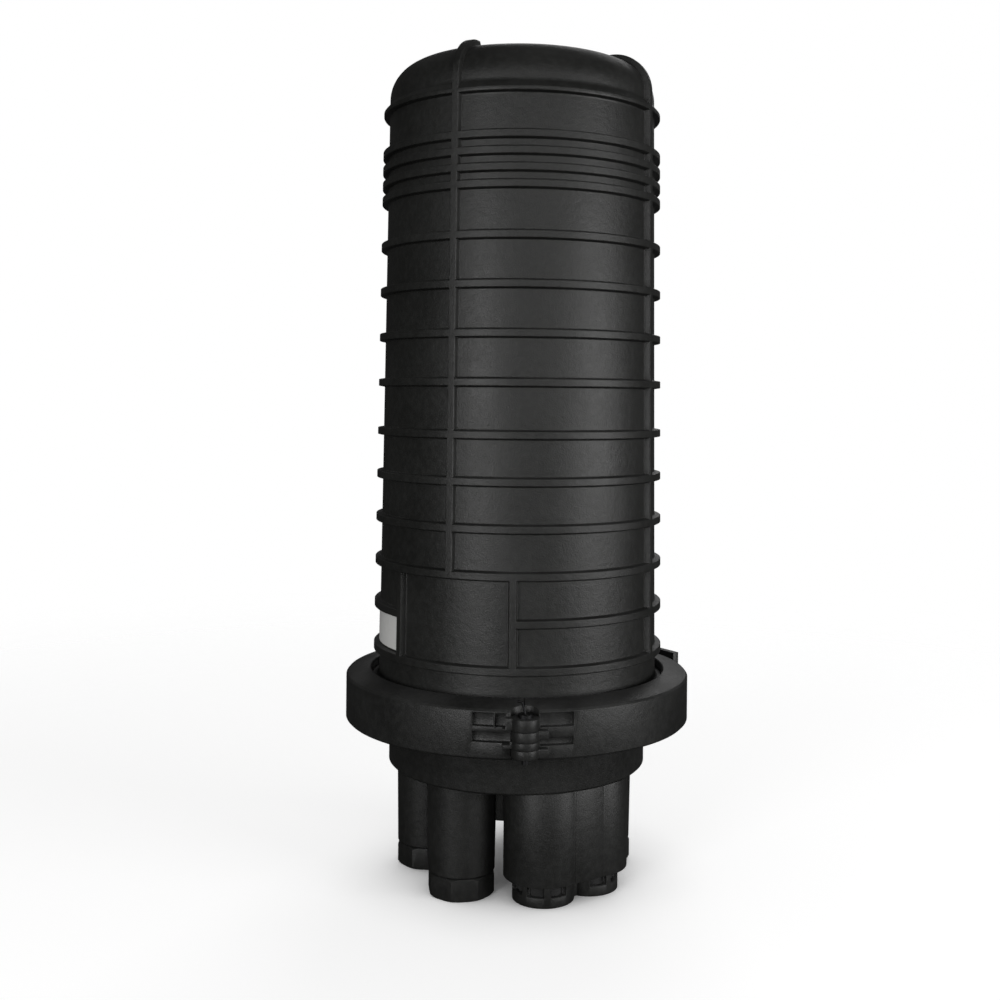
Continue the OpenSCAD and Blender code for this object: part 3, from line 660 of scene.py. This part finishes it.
@dataclass
class DomeMould:
    """The ribbed dome, wrapped round its axis by a geometry tree.

    A flat grid carries azimuth, radius and height at each point. The tree wraps it, keeps the
    upright ribs' width true over the shoulder, and raises the ribs along the wall's normal.
    Sizes are in millimetres and angles in degrees.
    """

    finishes: Finishes
    seal_z: float = 113.0
    wall_foot_r: float = 89.9
    draft: float = 0.01
    wall_h: float = 383.5
    shoulder_r: float = 22.0
    crown_rise: float = 3.0
    wall_t: float = 3.2
    flange_r: float = 103.6
    flange_t: float = 10.0
    wedge: float = 0.2162
    proud: float = 3.8
    ring_half: float = 2.5
    stave_half: float = 2.35
    stave_az: float = -29.0
    panel_half: float = 24.7
    panel_ring: int = 1
    panel_top: int = 2
    ring_first: float = 32.0
    ring_pitch: float = 27.6
    ring_step: float = 2.0
    high_pitch: float = 29.0
    group_lead: float = 29.7
    group_pitch: float = 9.8
    top_ring_rise: float = 374.5
    rib_soft: float = 0.42
    rib_round: float = 5.0
    flange_edge: float = 0.5
    foot_step: float = 1.6
    crease: float = 50.0
    bare: float = -9.0
    rings: list[float] = field(init=False)

    def __post_init__(self) -> None:
        """Works out the ring ribs' heights and the shoulder."""
        low = [self.seal_z + self.ring_first + i * self.ring_pitch for i in range(6)]
        high = [low[5] + self.ring_step + i * self.high_pitch for i in range(1, 5)]
        group = [high[3] + self.group_lead + i * self.group_pitch for i in range(4)]
        self.rings = low + high + group
        self.top_ring = self.seal_z + self.top_ring_rise
        self.shoulder_z = self.seal_z + self.wall_h
        self.mid_r = self.wall_r(self.shoulder_z) - self.shoulder_r

    def wall_r(self, z: float) -> float:
        """Radius of the plain wall at a height."""
        return self.wall_foot_r - self.draft * (z - self.seal_z)

    def rib_rows(self) -> list[float]:
        """Heights of the grid's rows on the ribbed wall.

        Returns:
            Rising heights, close together at the ribs' flanks.
        """
        steps = (0.0, 1.2, 1.75, 2.0, 2.2, 2.35, 2.5, 2.65, 2.8, 3.0, 3.3, 4.0)
        rows = set()
        for z in self.rings:
            rows |= {round(z + s * d, 3) for d in steps for s in (-1, 1)}
        chamfer = (-4.0, -3.3, -2.8, -2.5, -2.2, -1.8, -1.0, -0.2, 0.3, 1.2, 2.4, 3.6, 4.2, 4.8)
        rows |= {round(self.top_ring + d, 3) for d in chamfer}
        rows |= {round(self.rings[self.panel_top] + d, 3) for d in (0.5, -0.5)}
        ordered = sorted(rows)
        filled = []
        for a, b in zip(ordered, ordered[1:]):
            count = max(1, round((b - a) / 8.0))
            filled += [a + (b - a) * k / count for k in range(count)]
        return filled + [ordered[-1]]

    def profile(self) -> list[tuple[float, float, float]]:
        """The closed half section as (radius, height, lean), from the inner pole round to the outer one.

        Returns:
            Points in millimetres; lean is the angle of the outward normal where ribs stand, and
            bare where none do.
        """
        bare = self.bare
        pts: list[tuple[float, float, float]] = []
        top_in = self.shoulder_z + self.shoulder_r - self.wall_t
        for k in range(1, 6):
            pts.append((self.mid_r * k / 5, top_in, bare))
        for k in range(1, 11):
            a = math.pi / 2 * (1 - k / 10)
            r = self.shoulder_r - self.wall_t
            pts.append((self.mid_r + r * math.cos(a), self.shoulder_z + r * math.sin(a), bare))
        for k in range(1, 13):
            z = self.shoulder_z + (self.seal_z - self.shoulder_z) * k / 12
            pts.append((self.wall_r(z) - self.wall_t, z, bare))
        edge = self.flange_edge
        top = self.seal_z + self.flange_t
        foot_r = self.wall_foot_r + self.foot_step
        foot_z = top + self.wedge * (self.flange_r - foot_r)
        pts += [
            (self.flange_r - edge, self.seal_z, bare), (self.flange_r, self.seal_z + edge, bare),
            (self.flange_r, top - edge, bare), (self.flange_r - edge, top + self.wedge * edge, bare),
            (foot_r + 1.2, foot_z - 0.2, bare),
        ]
        for k in range(1, 6):
            a = math.pi / 2 * k / 6
            pts.append((foot_r + 1.2 - 2.9 * math.sin(a), foot_z - 0.2 + 3.4 * (1 - math.cos(a)), bare))
        rows = self.rib_rows()
        wall = [foot_z + 5.0, foot_z + 10.0, *rows, rows[-1] + 1.5, self.shoulder_z]
        pts += [(self.wall_r(z), z, 0.0) for z in wall]
        for k in range(1, 17):
            a = math.pi / 2 * k / 16
            out, up = self.shoulder_r * math.cos(a), self.shoulder_r * math.sin(a)
            pts.append((self.mid_r + out, self.shoulder_z + up, a))
        crown_z = self.shoulder_z + self.shoulder_r
        rib_ends = [self.mid_r - step for step in (0.8, 1.4, 1.8, 2.2, 2.7, 4, 8)]
        for r in [*rib_ends, 46, 36, 26, 16, 8]:
            rise = self.crown_rise * (1 - (r / self.mid_r) ** 2) ** 2
            pts.append((r, crown_z + rise, math.pi / 2))
        return pts

    def columns(self) -> list[float]:
        """Azimuths of the grid's columns.

        Returns:
            Rising azimuths in degrees, close together at the upright ribs' flanks.
        """
        steps = (0.0, 1.2, 1.65, 1.9, 2.05, 2.2, 2.35, 2.5, 2.65, 2.8, 3.05, 3.5, 4.5)
        per_mm = 360 / (TAU * self.wall_r(300))
        marks = set()
        for az in [self.stave_az + 90 * k for k in range(4)]:
            marks |= {round(az + s * d * per_mm, 5) for d in steps for s in (-1, 1)}
        for az in (self.stave_az - self.panel_half, self.stave_az + self.panel_half):
            marks |= {round(az + s * d * per_mm, 5) for d in steps for s in (-1, 1)}
        ordered = sorted(marks)
        ordered.append(ordered[0] + 360)
        filled = []
        for a, b in zip(ordered, ordered[1:]):
            count = max(1, round((b - a) / 3.2))
            filled += [a + (b - a) * k / count for k in range(count)]
        return filled

    def grid(self) -> bpy.types.Object:
        """The flat grid with its closing poles.

        Returns:
            An object whose corners hold (azimuth, radius, height) and whose lean attribute
            holds the wall's normal angle.
        """
        rows, cols = self.profile(), self.columns()
        n = len(cols)
        verts, lean, faces = [], [], []
        for r, z, a in rows:
            verts += [(math.radians(c), r, z) for c in cols]
            lean += [a] * n
        inner_pole, outer_pole = len(verts), len(verts) + 1
        top_in = self.shoulder_z + self.shoulder_r - self.wall_t
        verts += [(0, 0, top_in), (0, 0, self.shoulder_z + self.shoulder_r + self.crown_rise)]
        lean += [self.bare, math.pi / 2]
        for i in range(len(rows) - 1):
            for j in range(n):
                k = (j + 1) % n
                faces.append((i * n + j, (i + 1) * n + j, (i + 1) * n + k, i * n + k))
        last = (len(rows) - 1) * n
        for j in range(n):
            k = (j + 1) % n
            faces.append((inner_pole, j, k))
            faces.append((last + j, outer_pole, last + k))
        obj = new_object("dome_ribbed", verts, faces)
        attr = obj.data.attributes.new("lean", "FLOAT", "POINT")
        attr.data.foreach_set("value", lean)
        return obj

    def rib(self, distance: Sock, half: float) -> Sock:
        """Height share of a rib with drafted flanks, from the distance to its middle."""
        return distance.smooth(half + self.rib_soft, half - self.rib_soft)

    def start_tree(self) -> bpy.types.GeometryNodeTree:
        """Starts the geometry tree.

        Returns:
            A tree with its named inputs and its output.
        """
        tree = bpy.data.node_groups.new("dome_wrap", "GeometryNodeTree")
        face = tree.interface
        face.new_socket("Geometry", in_out="INPUT", socket_type="NodeSocketGeometry")
        for name in ("Rib Proud", "Panel Half Angle", "Stave Azimuth"):
            face.new_socket(name, in_out="INPUT", socket_type="NodeSocketFloat")
        face.new_socket("Finish", in_out="INPUT", socket_type="NodeSocketMaterial")
        face.new_socket("Geometry", in_out="OUTPUT", socket_type="NodeSocketGeometry")
        return tree

    def stave_offset(self, g: Graph, az: Sock, first: Sock, rad: Sock) -> tuple[Sock, Sock]:
        """Measures from the nearest long upright rib, true in width however the radius shrinks.

        Args:
            g: the graph.
            az: the point's azimuth in radians.
            first: the first rib's azimuth.
            rad: the point's radius.

        Returns:
            The offset along the wall in millimetres, and the azimuth that the point moves to.
        """
        quarter = math.pi / 2
        ref = self.wall_r(300)
        turn = (az - first) / quarter
        nearest = g.math("ROUND", turn)
        off = (turn - nearest) * quarter * ref
        keep, far = self.rib_round, quarter / 2 * ref
        side = g.math("SIGN", off)
        near_angle = keep / rad.max(12.0)
        inner = off.abs() / keep * near_angle
        outer = near_angle + (off.abs() - keep) / (far - keep) * (quarter / 2 - near_angle)
        is_far = off.abs() > keep
        angle = first + nearest * quarter + side * (inner * (1 - is_far) + outer * is_far)
        return off, angle

    def ring_mask(self, az: Sock, z: Sock, first: Sock, panel: Sock) -> Sock:
        """Height share of the ring ribs.

        Args:
            az: the point's azimuth in radians.
            z: its height.
            first: the first upright rib's azimuth, the middle of the bare panel.
            panel: half the panel's angle.

        Returns:
            One on a ring's face and nothing between rings or inside the panel.
        """
        height = z * 0.0
        for ring_z in self.rings:
            mask = self.rib((z - ring_z).abs(), self.ring_half)
            if ring_z == self.rings[self.panel_ring]:
                mask = mask * (1 - ((az - first).abs() < panel))
            height = height.max(mask)
        above = z - self.top_ring
        slope = above.smooth(-self.ring_half - self.rib_soft, -self.ring_half + self.rib_soft)
        falling = (self.ring_half + 2.0 - above) / (self.ring_half + 1.6)
        return height.max(slope * falling.min(1.0).max(0.0))

    def stave_mask(self, az: Sock, rad: Sock, z: Sock, off: Sock, first: Sock, panel: Sock) -> Sock:
        """Height share of the upright ribs.

        Args:
            az: the point's azimuth in radians.
            rad: its radius.
            z: its height.
            off: its offset from the nearest long rib.
            first: the first upright rib's azimuth.
            panel: half the bare panel's angle.

        Returns:
            One on the four long ribs and on the two short ones beside the panel.
        """
        from_first = (az - first).abs()
        stave = self.rib(off.abs(), self.stave_half)
        is_first = from_first < (math.pi / 4)
        start = self.rings[0] + (self.rings[self.panel_top] - self.rings[0]) * is_first
        stave = stave * (z > start)
        long_ribs = stave * rad.smooth(self.mid_r - 2.6, self.mid_r - 1.4)
        short_off = (from_first - panel).abs() * self.wall_r(172)
        short = self.rib(short_off, self.stave_half)
        short = short * (z > self.rings[0]) * (z < self.rings[self.panel_top])
        return long_ribs.max(short)

    def tree(self) -> bpy.types.GeometryNodeTree:
        """Builds the geometry tree that wraps the grid and raises the ribs.

        Returns:
            The tree, which ends in Realize Instances and Set Material.
        """
        tree = self.start_tree()
        g = Graph(tree)
        inputs = g.node("NodeGroupInput")
        proud, panel, first = (g.out(inputs, k) for k in (1, 2, 3))
        position = g.node("GeometryNodeInputPosition")
        place = g.node("ShaderNodeSeparateXYZ", None, {0: position.outputs[0]})
        az, rad, z = (g.out(place, k) for k in range(3))
        stored = g.node("GeometryNodeInputNamedAttribute", {"data_type": "FLOAT"}, {"Name": "lean"})
        lean = g.out(stored, 0)
        off, angle = self.stave_offset(g, az, first, rad)
        height = self.ring_mask(az, z, first, panel)
        height = height.max(self.stave_mask(az, rad, z, off, first, panel))
        height = height * (lean > -5.0) * proud
        out_r = rad + height * g.math("COSINE", lean)
        out_z = z + height * g.math("SINE", lean)
        wrapped = g.node("ShaderNodeCombineXYZ", None, {
            0: out_r * g.math("SINE", angle) * MM,
            1: out_r * g.math("COSINE", angle) * -MM,
            2: out_z * MM,
        })
        moved = g.node("GeometryNodeSetPosition", None, {
            "Geometry": inputs.outputs[0], "Position": wrapped.outputs[0],
        })
        real = g.node("GeometryNodeRealizeInstances", None, {0: moved.outputs[0]})
        dressed = g.node("GeometryNodeSetMaterial", None, {
            "Geometry": real.outputs[0], "Material": inputs.outputs[4],
        })
        g.node("NodeGroupOutput", None, {0: dressed.outputs[0]})
        return tree

    def build(self) -> None:
        """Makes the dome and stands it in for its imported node."""
        obj = self.grid()
        tree = self.tree()
        mod = obj.modifiers.new("wrap", "NODES")
        mod.node_group = tree
        values = {
            "Rib Proud": self.proud, "Panel Half Angle": math.radians(self.panel_half),
            "Stave Azimuth": math.radians(self.stave_az), "Finish": self.finishes.made["dome_plastic"],
        }
        for item in tree.interface.items_tree:
            if item.in_out == "INPUT" and item.name in values:
                mod[item.identifier] = values[item.name]
        bake_modifiers(obj)
        shade_smooth(obj)
        obj.data.set_sharp_from_angle(angle=math.radians(self.crease))
        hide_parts("dome_shell")
        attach(obj, "closure")
        log.info("dome: %d faces", len(obj.data.polygons))


# ---------------------------------------------------------------- oval port


@dataclass
class CageLining:
    """A thin dark sleeve in each lobe of the oval port's cage, behind its windows.

    Sizes are in millimetres and angles in degrees.
    """

    finishes: Finishes
    lobe_rho: float = 57.7
    oval_az: float = 32.0
    span: float = 34.0
    radius: float = 15.6
    foot: float = 3.4
    top: float = 19.6
    wall: float = 0.6
    sides: int = 48
    crease: float = 40.0

    def ring(self, centre: Vector, radius: float, height: float) -> list[Vector]:
        """Corners of one level ring.

        Args:
            centre: the lobe's middle.
            radius: the ring's radius.
            height: its height.

        Returns:
            Its corners in metres.
        """
        turns = [TAU * k / self.sides for k in range(self.sides)]
        at = centre + Vector((0, 0, height))
        return [(at + Vector((radius * math.cos(t), radius * math.sin(t), 0))) * MM for t in turns]

    def build(self) -> None:
        """Makes the sleeves and sets them on the closure."""
        swing = math.degrees(math.asin(self.span / 2 / self.lobe_rho))
        inner = self.radius - self.wall
        outer = self.radius
        section = ((outer, self.foot), (outer, self.top), (inner, self.top), (inner, self.foot))
        verts, faces = [], []
        for az in (self.oval_az - swing, self.oval_az + swing):
            a = math.radians(az)
            centre = Vector((math.sin(a), -math.cos(a), 0)) * self.lobe_rho
            first = len(verts)
            for radius, height in section:
                verts += self.ring(centre, radius, height)
            for i in range(len(section)):
                low, high = first + i * self.sides, first + (i + 1) % len(section) * self.sides
                for k in range(self.sides):
                    m = (k + 1) % self.sides
                    faces.append((low + k, low + m, high + m, high + k))
        obj = new_object("cage_lining", verts, faces)
        shade_smooth(obj)
        obj.data.set_sharp_from_angle(angle=math.radians(self.crease))
        self.finishes.dress(obj, "seal_rubber")
        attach(obj, "closure")
        log.info("cage lining: %d faces", len(obj.data.polygons))


# ---------------------------------------------------------------- studio


@dataclass(frozen=True)
class SoftBox:
    """A soft rectangular lamp that faces the closure."""

    name: str
    azimuth: float
    elevation: float
    distance: float
    size: tuple[float, float]
    power: float

    def place(self, aim: Vector) -> None:
        """Hangs the lamp.

        Args:
            aim: the point that it faces, in metres.
        """
        data = bpy.data.lights.new(self.name, "AREA")
        data.shape, data.energy = "RECTANGLE", self.power
        data.size, data.size_y = self.size
        obj = bpy.data.objects.new(self.name, data)
        bpy.context.scene.collection.objects.link(obj)
        az, el = math.radians(self.azimuth), math.radians(self.elevation)
        step = Vector((math.sin(az) * math.cos(el), -math.cos(az) * math.cos(el), math.sin(el)))
        obj.location = aim + step * self.distance
        obj.rotation_euler = (-step).to_track_quat("-Z", "Y").to_euler()


LAMPS = (
    SoftBox("key", 60, 0, 1.7, (1.0, 0.8), 15),
    SoftBox("fill", -34, 0, 1.7, (0.6, 0.8), 11),
    SoftBox("front", 10, 12, 2.4, (2.0, 0.7), 9),
    SoftBox("back", 165, 35, 2.2, (1.2, 1.2), 8),
)


@dataclass
class Studio:
    """Camera, floor, lamps and the white surround, in metres and degrees."""

    eye_distance: float = 0.820
    eye_height: float = 0.306
    eye_azimuth: float = -2.6
    lens: float = 45.0
    sensor: float = 36.0
    shift_x: float = -0.0195
    shift_y: float = -0.104
    roll: float = 0.55
    aim_height: float = 0.26
    mirrored_left: float = 0.03
    mirrored_right: float = 0.06
    ambient: float = 0.2
    floor_z: float = -0.0002
    floor_glow: float = 0.6
    floor_sides: int = 96
    shade_reach: float = 0.09

    def camera(self) -> None:
        """Places the camera level with the middle of the closure."""
        data = bpy.data.cameras.new("camera")
        data.lens, data.sensor_width = self.lens, self.sensor
        data.shift_x, data.shift_y = self.shift_x, self.shift_y
        data.clip_start, data.clip_end = 0.01, 60.0
        cam = bpy.data.objects.new("camera", data)
        bpy.context.scene.collection.objects.link(cam)
        az = math.radians(self.eye_azimuth)
        eye = Vector((math.sin(az), -math.cos(az), 0)) * self.eye_distance
        cam.location = eye + Vector((0, 0, self.eye_height))
        level = Matrix.Rotation(az, 4, "Z") @ Matrix.Rotation(math.pi / 2, 4, "X")
        cam.rotation_euler = (level @ Matrix.Rotation(math.radians(self.roll), 4, "Z")).to_euler()
        bpy.context.scene.camera = cam

    def world(self) -> None:
        """White to the camera, dim in reflections and as a light, darker on the left and below."""
        world = bpy.data.worlds.new("surround")
        bpy.context.scene.world = world
        world.use_nodes = True
        world.node_tree.nodes.clear()
        g = Graph(world.node_tree)
        rays = g.node("ShaderNodeLightPath")
        seen = g.out(rays, "Is Camera Ray").max(g.out(rays, "Is Transmission Ray"))
        mirrored = g.out(rays, "Is Glossy Ray")
        toward = g.node("ShaderNodeTexCoord").outputs["Generated"]
        side = g.node("ShaderNodeSeparateXYZ", None, {0: toward})
        right = g.out(side, 0).smooth(-0.75, 0.6, (self.mirrored_left, self.mirrored_right))
        above = g.out(side, 2).smooth(-0.25, 0.2, (0.1, 1.0))
        unseen = (mirrored * right + (1 - mirrored) * self.ambient) * above
        strength = seen + (1 - seen) * unseen
        lit = g.node("ShaderNodeBackground", None, {"Color": rgba(1.0), "Strength": strength})
        g.node("ShaderNodeOutputWorld", None, {0: lit.outputs[0]})

    def floor_disc(self) -> bpy.types.Object:
        """Makes the floor's round sheet.

        Returns:
            The disc, just under the closure.
        """
        ring, rows = self.floor_sides, (0.35, 0.8, 1.6, 3.0)
        verts = [(0, 0, self.floor_z)]
        verts += [
            (r * math.cos(TAU * k / ring), r * math.sin(TAU * k / ring), self.floor_z)
            for r in rows for k in range(ring)
        ]
        faces = [(0, 1 + k, 1 + (k + 1) % ring) for k in range(ring)]
        for i in range(len(rows) - 1):
            a, b = 1 + i * ring, 1 + (i + 1) * ring
            faces += [(a + k, b + k, b + (k + 1) % ring, a + (k + 1) % ring) for k in range(ring)]
        return new_object("floor", verts, faces)

    def floor(self) -> None:
        """A pale floor that melts into the surround and keeps the closure's shadow, with a painted
        shadow from an ambient-occlusion node darkening its glow near the closure.
        """
        obj = self.floor_disc()
        constants = {"Roughness": 0.9, "Specular IOR Level": 0.0, "Emission Strength": self.floor_glow}
        mat, g, bsdf = shader("floor_paint", constants)
        seen = g.out(g.node("ShaderNodeLightPath"), "Is Camera Ray")
        g.feed(bsdf.inputs["Base Color"], g.mix(seen, rgba(0.06), rgba(0.9)))
        # Painted shadow: an ambient-occlusion node darkens the floor's camera-only glow close to the
        # closure and inside its cage.
        reach = {"Distance": self.shade_reach}
        near = g.node("ShaderNodeAmbientOcclusion", {"samples": 8}, reach)
        glow_outside_painted_shadow = g.out(near, "AO").smooth(0.0, 0.9)
        g.feed(bsdf.inputs["Emission Color"], g.mix(seen * glow_outside_painted_shadow, rgba(0.0), rgba(1.0)))
        far = g.node("ShaderNodeVectorMath", {"operation": "LENGTH"}, {0: g.coords()})
        fade = g.out(far, "Value").smooth(0.3, 1.2)
        clear = g.node("ShaderNodeBsdfTransparent")
        shaders = {0: fade * seen, 1: bsdf.outputs[0], 2: clear.outputs[0]}
        mixed = g.node("ShaderNodeMixShader", None, shaders)
        end = next(n for n in mat.node_tree.nodes if n.type == "OUTPUT_MATERIAL")
        g.feed(end.inputs["Surface"], mixed.outputs[0])
        obj.data.materials.append(mat)

    def build(self) -> None:
        """Sets the whole stage."""
        bpy.context.scene.view_settings.view_transform = "Standard"
        self.camera()
        self.world()
        self.floor()
        for lamp in LAMPS:
            lamp.place(Vector((0, 0, self.aim_height)))
        log.info("stage set")


ROUNDED_MM = {
    "hoop_left": 0.5, "hoop_right": 0.5,
    "base_body": 0.6, "oval_tube": 0.6, "oval_cage": 0.4,
    "latch_lever": 0.5,
    **{f"port_nut_{i}": 0.5 for i in range(1, 5)},
}


def main() -> None:
    """Builds the dressed closure."""
    logging.basicConfig(level=logging.INFO, format="%(name)s: %(message)s")
    Studio().build()
    finishes = Finishes()
    finishes.dress_frame()
    DomeMould(finishes).build()
    CageLining(finishes).build()
    RoundedCopies(finishes, {node: radius * MM for node, radius in ROUNDED_MM.items()}).build()


if __name__ == "__main__":
    main()
